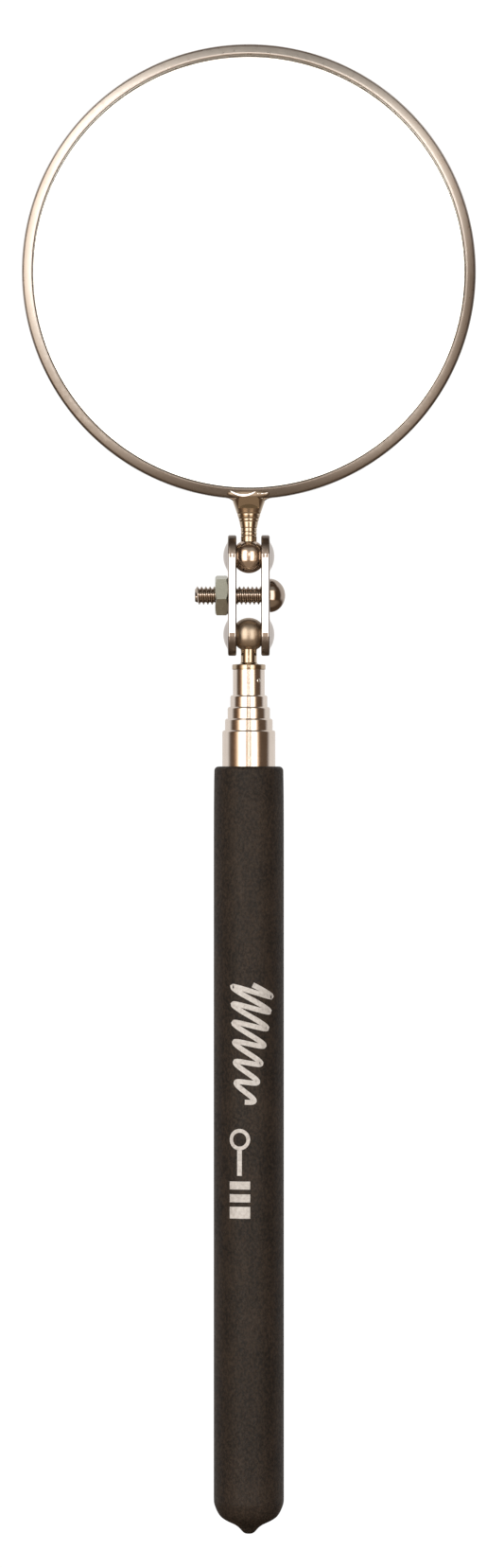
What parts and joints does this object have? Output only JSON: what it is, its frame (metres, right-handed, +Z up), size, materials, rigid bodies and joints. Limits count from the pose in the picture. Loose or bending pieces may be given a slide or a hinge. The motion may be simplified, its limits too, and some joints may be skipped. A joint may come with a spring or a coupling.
{
  "type": "telescoping inspection mirror",
  "caption": "Hand inspection mirror: a round framed glass on a double ball joint held between screwed clamp plates, at the end of a telescoping tube with a soft grip.",
  "frame": {"origin": "on the handle's axis, halfway up the straight stretch of the grip", "axes": "+Z up the handle towards the mirror, the glass faces -Y, the clamp screw lies along X with its head at +X"},
  "size_m": [0.0854, 0.0132, 0.28],
  "materials": {
    "soft_grip": "matt, fine leathery grain",
    "tube_nickel": "bright nickel, warm tint, fine turning lines",
    "bronze_nickel": "turned and nickel plated, warm tint",
    "satin_ball": "satin nickel",
    "polished_ball": "polished nickel",
    "plate_steel": "bright nickel on stamped steel",
    "screw_steel": "nickel-plated thread",
    "nut_steel": "grey zinc plate",
    "steel_pin": "bare pin end",
    "solder": "smooth solder",
    "case_steel": "bright plated steel, fine spun lines",
    "pad_board": "pressed board",
    "silver": "silvered",
    "mirror_glass": "clear float glass, faint green edge",
    "brass": "plain turned brass",
    "spring_bronze": "spring bronze"
  },
  "bodies": {
    "handle": {"grip": "soft_grip", "base_plug": "brass", "tube_1": "tube_nickel"},
    "sleeve_2": {"friction_sleeve_2": "spring_bronze"},
    "section_2": {"tube_2": "tube_nickel", "stop_collar_2": "brass"},
    "sleeve_3": {"friction_sleeve_3": "spring_bronze"},
    "section_3": {"tube_3": "tube_nickel", "stop_collar_3": "brass"},
    "sleeve_4": {"friction_sleeve_4": "spring_bronze"},
    "section_4": {"tube_4": "tube_nickel", "stop_collar_4": "brass"},
    "sleeve_5": {"friction_sleeve_5": "spring_bronze"},
    "section_5": {"tube_5": "tube_nickel", "stop_collar_5": "brass", "lower_ball_stem": "bronze_nickel", "stem_pin": "steel_pin"},
    "lower_ball": {"lower_ball": "satin_ball"},
    "clamp": {"right_clamp_plate": "plate_steel"},
    "clamp_jaw": {"left_clamp_plate": "plate_steel", "clamp_nut": "nut_steel"},
    "clamp_screw": {"clamp_screw": "screw_steel"},
    "upper_ball": {"upper_ball": "polished_ball"},
    "mirror_head": {"mirror_neck": "bronze_nickel", "solder_fillet": "solder", "mirror_case": "case_steel", "backing_pad": "pad_board", "silver_layer": "silver", "mirror_glass": "mirror_glass"}
  },
  "joints": [
    {"name": "tube_2_slide", "type": "slide", "parent": "handle", "child": "sleeve_2", "axis": [0, 0, 1], "range_m": [0, 0.118]},
    {"name": "tube_2_spin", "type": "hinge", "parent": "sleeve_2", "child": "section_2", "pos_m": [0, 0, 0.076], "axis": [0, 0, 1], "continuous": true},
    {"name": "tube_3_slide", "type": "slide", "parent": "section_2", "child": "sleeve_3", "axis": [0, 0, 1], "range_m": [0, 0.118]},
    {"name": "tube_3_spin", "type": "hinge", "parent": "sleeve_3", "child": "section_3", "pos_m": [0, 0, 0.076], "axis": [0, 0, 1], "continuous": true},
    {"name": "tube_4_slide", "type": "slide", "parent": "section_3", "child": "sleeve_4", "axis": [0, 0, 1], "range_m": [0, 0.118]},
    {"name": "tube_4_spin", "type": "hinge", "parent": "sleeve_4", "child": "section_4", "pos_m": [0, 0, 0.076], "axis": [0, 0, 1], "continuous": true},
    {"name": "tube_5_slide", "type": "slide", "parent": "section_4", "child": "sleeve_5", "axis": [0, 0, 1], "range_m": [0, 0.118]},
    {"name": "tube_5_spin", "type": "hinge", "parent": "sleeve_5", "child": "section_5", "pos_m": [0, 0, 0.076], "axis": [0, 0, 1], "continuous": true},
    {"name": "lower_ball_lean", "type": "hinge", "parent": "section_5", "child": "lower_ball", "pos_m": [0, 0, 0.094], "axis": [0, 1, 0], "range_deg": [-10, 10]},
    {"name": "lower_ball_swing", "type": "hinge", "parent": "lower_ball", "child": "clamp", "pos_m": [0, 0, 0.094], "axis": [1, 0, 0], "range_deg": [-105, 105]},
    {"name": "clamp_screw_turn", "type": "hinge", "parent": "clamp", "child": "clamp_screw", "pos_m": [0, 0, 0.10135], "axis": [1, 0, 0], "range_deg": [0, 540]},
    {"name": "clamp_jaw_slide", "type": "slide", "parent": "clamp", "child": "clamp_jaw", "axis": [-1, 0, 0], "range_m": [0, 0.00119]},
    {"name": "upper_ball_swing", "type": "hinge", "parent": "clamp", "child": "upper_ball", "pos_m": [0, 0, 0.1087], "axis": [-1, 0, 0], "range_deg": [-120, 120]},
    {"name": "mirror_twist", "type": "hinge", "parent": "upper_ball", "child": "mirror_head", "pos_m": [0, 0, 0.1087], "axis": [0, 0, 1], "continuous": true}
  ],
  "couplings": [
    {"joint": "clamp_screw_turn", "follows": "clamp_jaw_slide", "rad_per_m": 7915.8}
  ]
}
